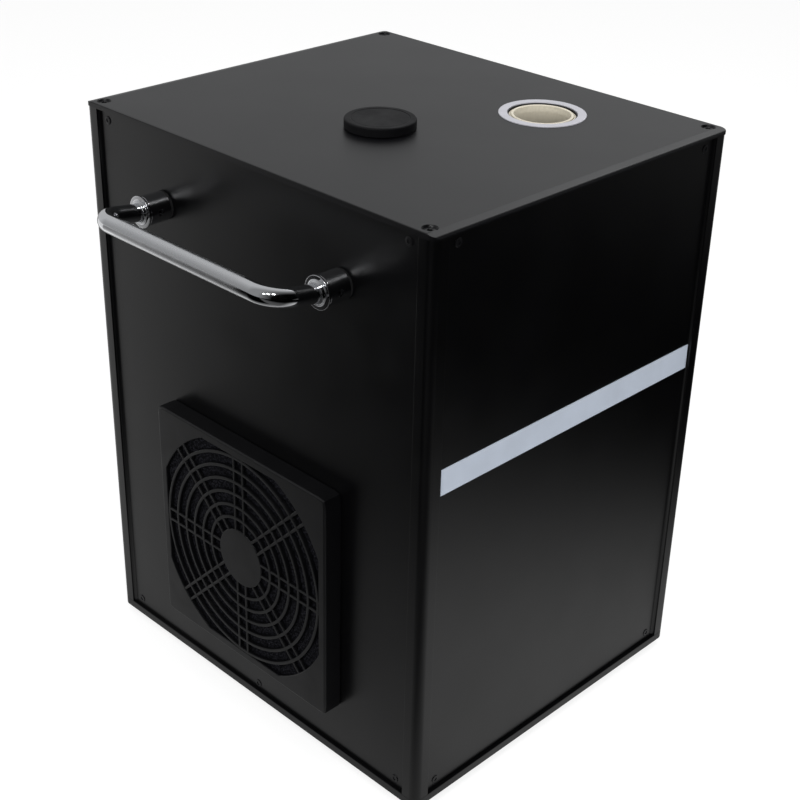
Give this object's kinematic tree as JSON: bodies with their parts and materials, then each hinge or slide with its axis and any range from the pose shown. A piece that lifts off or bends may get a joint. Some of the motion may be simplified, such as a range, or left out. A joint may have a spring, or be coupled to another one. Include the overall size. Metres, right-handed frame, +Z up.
{
  "type": "cold spark machine",
  "caption": "Box-shaped stage effect machine with a spark nozzle and a filler cap on top, a filtered fan on one side, carrying handles and rear controls.",
  "frame": {"origin": "centre of the bounding box, at floor level under the feet", "axes": "+Z up, -Y towards the front with the stripe, -X towards the side with the fan guard"},
  "size_m": [0.284, 0.2408, 0.3087],
  "materials": {
    "anodised_plate": "black anodised sheet, fine satin",
    "painted_case": "black powder coat, low sheen",
    "chrome": "polished chrome plate",
    "stripe_film": "silver-white satin film",
    "black_plastic": "moulded, fine satin",
    "gloss_black_plastic": "moulded, polished",
    "filter_foam": "open-cell foam",
    "black_rubber": "moulded, dull",
    "blackened_steel": "black oxide",
    "white_enamel": "white, low gloss",
    "cream_ceramic": "unglazed, fired",
    "bare_steel": "turned or drawn",
    "zinc_sheet": "folded, mill finish",
    "fibre_jacket": "pressed ceramic fibre",
    "circuit_board": "green solder mask",
    "screen_glass": "dark display window",
    "red_plastic": "moulded, semi-gloss"
  },
  "bodies": {
    "casing": {"top_plate": "anodised_plate", "base_plate": "painted_case", "corner_post_front_left": "painted_case", "corner_post_front_right": "painted_case", "corner_post_rear_left": "painted_case", "corner_post_rear_right": "painted_case", "front_panel": "painted_case", "rear_panel": "painted_case", "left_panel": "painted_case", "right_panel": "painted_case", "left_handle": "chrome", "left_handle_boss_rear": "chrome", "left_handle_boss_front": "chrome", "right_handle": "chrome", "right_handle_boss_front": "chrome", "right_handle_boss_rear": "chrome", "front_stripe": "stripe_film", "fan_guard": "black_plastic", "guard_base": "black_plastic", "fan_frame": "black_plastic", "blower_housing": "black_plastic", "power_switch_frame": "black_plastic", "power_inlet": "black_plastic", "fuse_holder": "black_plastic", "display_bezel": "gloss_black_plastic", "filter_foam": "filter_foam", "foot_front_left": "black_rubber", "foot_front_right": "black_rubber", "foot_rear_left": "black_rubber", "foot_rear_right": "black_rubber", "top_screw_front_left": "blackened_steel", "top_screw_front_right": "blackened_steel", "top_screw_rear_left": "blackened_steel", "top_screw_rear_right": "blackened_steel", "feed_motor": "blackened_steel", "signal_in_socket": "blackened_steel", "signal_out_socket": "blackened_steel", "nozzle_ring": "white_enamel", "nozzle_tube": "cream_ceramic", "filler_neck": "bare_steel", "hopper": "bare_steel", "heating_chamber": "bare_steel", "feed_barrel": "bare_steel", "inner_bridge": "zinc_sheet", "power_supply": "zinc_sheet", "heater_sleeve": "fibre_jacket", "control_board": "circuit_board", "display_screen": "screen_glass"},
    "filler_cap": {"filler_cap": "black_plastic"},
    "fan_impeller": {"fan_impeller": "black_plastic"},
    "blower_wheel": {"blower_wheel": "black_plastic"},
    "feed_auger": {"feed_auger": "bare_steel", "feed_coupling": "bare_steel"},
    "button_menu": {"button_menu": "black_rubber"},
    "button_up": {"button_up": "black_rubber"},
    "button_down": {"button_down": "black_rubber"},
    "button_enter": {"button_enter": "black_rubber"},
    "power_rocker": {"power_rocker": "red_plastic"},
    "fuse_cap": {"fuse_cap": "gloss_black_plastic"}
  },
  "joints": [
    {"name": "filler_cap_lift", "type": "slide", "parent": "casing", "child": "filler_cap", "axis": [0, 0, 1], "range_m": [0, 0.03]},
    {"name": "fan_spin", "type": "hinge", "parent": "casing", "child": "fan_impeller", "pos_m": [-0.085, -0.00325, 0.098], "axis": [-1, 0, 0], "continuous": true},
    {"name": "blower_spin", "type": "hinge", "parent": "casing", "child": "blower_wheel", "pos_m": [0.026, -0.04675, 0.112], "axis": [0, -1, 0], "continuous": true},
    {"name": "auger_spin", "type": "hinge", "parent": "casing", "child": "feed_auger", "pos_m": [-0.0223, -0.00935, 0.1943], "axis": [0.8908, -0.4545, 0], "continuous": true},
    {"name": "button_menu_press", "type": "slide", "parent": "casing", "child": "button_menu", "axis": [0, -1, 0], "range_m": [0, 0.001], "stiffness_N_per_m": 600, "springref_m": -0.0005},
    {"name": "button_up_press", "type": "slide", "parent": "casing", "child": "button_up", "axis": [0, -1, 0], "range_m": [0, 0.001], "stiffness_N_per_m": 600, "springref_m": -0.0005},
    {"name": "button_down_press", "type": "slide", "parent": "casing", "child": "button_down", "axis": [0, -1, 0], "range_m": [0, 0.001], "stiffness_N_per_m": 600, "springref_m": -0.0005},
    {"name": "button_enter_press", "type": "slide", "parent": "casing", "child": "button_enter", "axis": [0, -1, 0], "range_m": [0, 0.001], "stiffness_N_per_m": 600, "springref_m": -0.0005},
    {"name": "power_rocker_tilt", "type": "hinge", "parent": "casing", "child": "power_rocker", "pos_m": [-0.004, 0.11085, 0.056], "axis": [1, 0, 0], "range_deg": [0, 14]},
    {"name": "fuse_cap_turn", "type": "hinge", "parent": "casing", "child": "fuse_cap", "pos_m": [-0.05, 0.11385, 0.056], "axis": [0, 1, 0], "range_deg": [0, 90]}
  ]
}
